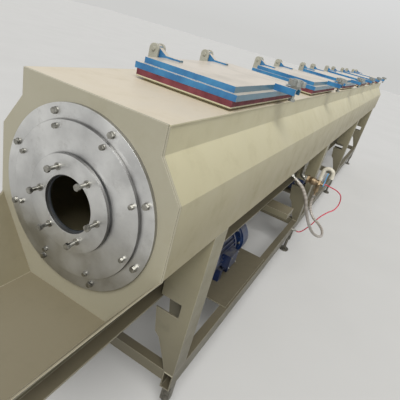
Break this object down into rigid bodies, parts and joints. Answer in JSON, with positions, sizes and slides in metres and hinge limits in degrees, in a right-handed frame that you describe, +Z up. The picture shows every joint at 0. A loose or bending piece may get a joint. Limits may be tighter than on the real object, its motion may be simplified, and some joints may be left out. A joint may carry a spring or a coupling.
{
  "type": "vacuum sizing tank of a plastic pipe extrusion line",
  "caption": "Long folded-sheet vacuum and cooling tank for extruded plastic pipe, with hinged hatches, stepped sealing flanges and a steel underframe.",
  "frame": {"origin": "on the floor under the middle of the machine's box", "axes": "+X along the line, from the entry flange to the exit flange, +Y to the hinge side, +Z up"},
  "size_m": [6.402, 0.7996, 1.369],
  "materials": {
    "lid_enamel": "blue gloss enamel on the rims, cream on the tops",
    "knob_iron": "grey cast knob",
    "gasket_silicone": "red silicone sponge",
    "seal_rubber": "black rubber",
    "flange_aluminium": "turned aluminium plate",
    "zinc_steel": "zinc plated",
    "foot_steel": "plain steel",
    "hinge_steel": "grey paint",
    "frame_paint": "cream enamel",
    "motor_paint": "dark blue enamel",
    "pump_paint": "dark blue enamel on cast iron",
    "pipe_pvc": "grey pipe",
    "deck_paint": "cream enamel, dusty",
    "valve_brass": "bare brass, dull",
    "vent_plastic": "white plastic",
    "lever_paint": "light blue dipped lever",
    "hose_pvc": "clear braided hose, greyish",
    "hose_red_pu": "red air hose",
    "tank_paint": "cream enamel"
  },
  "bodies": {
    "tank": {"tank_top": "tank_paint", "tank_side_near": "tank_paint", "tank_side_far": "tank_paint", "tank_floor": "tank_paint", "entry_plate": "tank_paint", "exit_plate": "tank_paint", "entry_ring": "flange_aluminium", "entry_disc": "flange_aluminium", "entry_clamp_ring": "flange_aluminium", "entry_seal": "seal_rubber", "entry_bolts": "zinc_steel", "entry_studs": "zinc_steel", "exit_ring": "flange_aluminium", "exit_disc": "flange_aluminium", "exit_clamp_ring": "flange_aluminium", "exit_seal": "seal_rubber", "exit_bolts": "zinc_steel", "exit_studs": "zinc_steel", "lid_gaskets": "gasket_silicone", "hinge_posts": "hinge_steel", "tray": "tank_paint", "rail_near": "frame_paint", "rail_far": "frame_paint", "legs_near": "frame_paint", "legs_far": "frame_paint", "tube_near": "frame_paint", "tube_far": "frame_paint", "cross_tubes": "frame_paint", "deck_plates": "deck_paint", "feet": "foot_steel", "pump_1_motor": "motor_paint", "pump_1_casing": "pump_paint", "pump_2_motor": "motor_paint", "pump_2_casing": "pump_paint", "pump_pipes": "pipe_pvc", "side_shelf": "deck_paint", "valve_pipe": "zinc_steel", "valve_body": "valve_brass", "valve_vent": "vent_plastic", "hose_clear": "hose_pvc", "hose_red": "hose_red_pu"},
    "lid_1": {"lid_1": "lid_enamel", "lid_1_knob": "knob_iron"},
    "lid_2": {"lid_2": "lid_enamel", "lid_2_knob": "knob_iron"},
    "lid_3": {"lid_3": "lid_enamel", "lid_3_knob": "knob_iron"},
    "lid_4": {"lid_4": "lid_enamel", "lid_4_knob": "knob_iron"},
    "lid_5": {"lid_5": "lid_enamel", "lid_5_knob": "knob_iron"},
    "lid_6": {"lid_6": "lid_enamel", "lid_6_knob": "knob_iron"},
    "valve_lever": {"valve_lever": "lever_paint"}
  },
  "joints": [
    {"name": "lid_1_hinge", "type": "hinge", "parent": "tank", "child": "lid_1", "pos_m": [-2.261, 0.206, 1.352], "axis": [-1, 0, 0], "range_deg": [0, 100]},
    {"name": "lid_2_hinge", "type": "hinge", "parent": "tank", "child": "lid_2", "pos_m": [-1.305, 0.206, 1.352], "axis": [-1, 0, 0], "range_deg": [0, 100]},
    {"name": "lid_3_hinge", "type": "hinge", "parent": "tank", "child": "lid_3", "pos_m": [-0.349, 0.206, 1.352], "axis": [-1, 0, 0], "range_deg": [0, 100]},
    {"name": "lid_4_hinge", "type": "hinge", "parent": "tank", "child": "lid_4", "pos_m": [0.607, 0.206, 1.352], "axis": [-1, 0, 0], "range_deg": [0, 100]},
    {"name": "lid_5_hinge", "type": "hinge", "parent": "tank", "child": "lid_5", "pos_m": [1.563, 0.206, 1.352], "axis": [-1, 0, 0], "range_deg": [0, 100]},
    {"name": "lid_6_hinge", "type": "hinge", "parent": "tank", "child": "lid_6", "pos_m": [2.519, 0.206, 1.352], "axis": [-1, 0, 0], "range_deg": [0, 100]},
    {"name": "valve_lever_hinge", "type": "hinge", "parent": "tank", "child": "valve_lever", "pos_m": [-0.92133, -0.305, 0.67], "axis": [0, -1, 0], "range_deg": [0, 90]}
  ]
}
